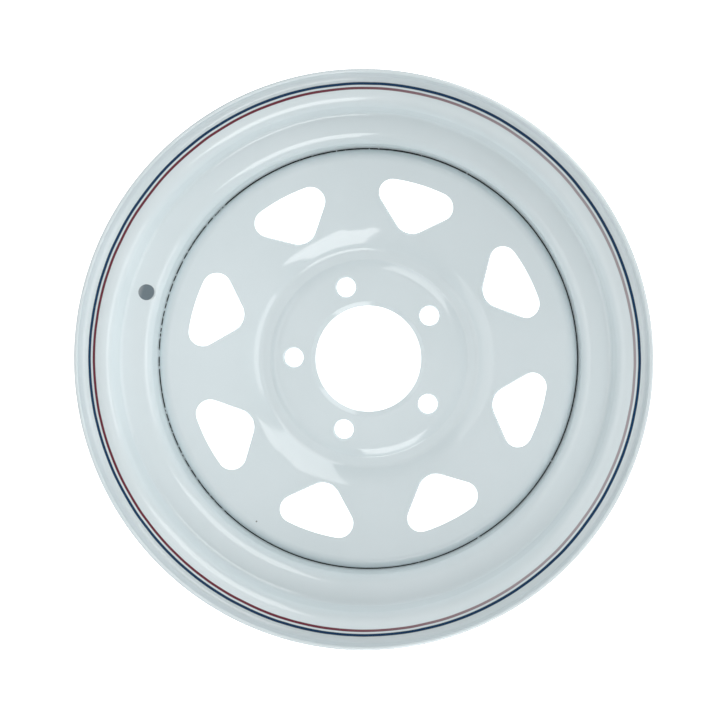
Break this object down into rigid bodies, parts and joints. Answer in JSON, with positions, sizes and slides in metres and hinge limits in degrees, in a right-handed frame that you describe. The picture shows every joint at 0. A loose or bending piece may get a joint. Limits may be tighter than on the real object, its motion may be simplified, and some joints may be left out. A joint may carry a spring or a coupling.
{
  "type": "steel wheel",
  "caption": "White painted steel trailer wheel: a rolled drop-centre rim with a pressed disc that has a hub bore, lug holes and rounded triangular windows, pinstriped round the flange.",
  "frame": {"origin": "on the wheel's axis, in the plane of the disc's mounting face", "axes": "+Z along the wheel's axis towards the outboard face, +X to the picture's right, +Y to the picture's top"},
  "size_m": [0.3894, 0.3892, 0.1658],
  "materials": {
    "rim_paint": "gloss white paint with a thin blue and a thin red stripe",
    "disc_paint": "gloss white paint",
    "weld_paint": "gloss white paint over rippled weld metal"
  },
  "bodies": {
    "root": {"rim": "rim_paint", "wheel_disc": "disc_paint", "weld_beads": "weld_paint"}
  },
  "joints": []
}
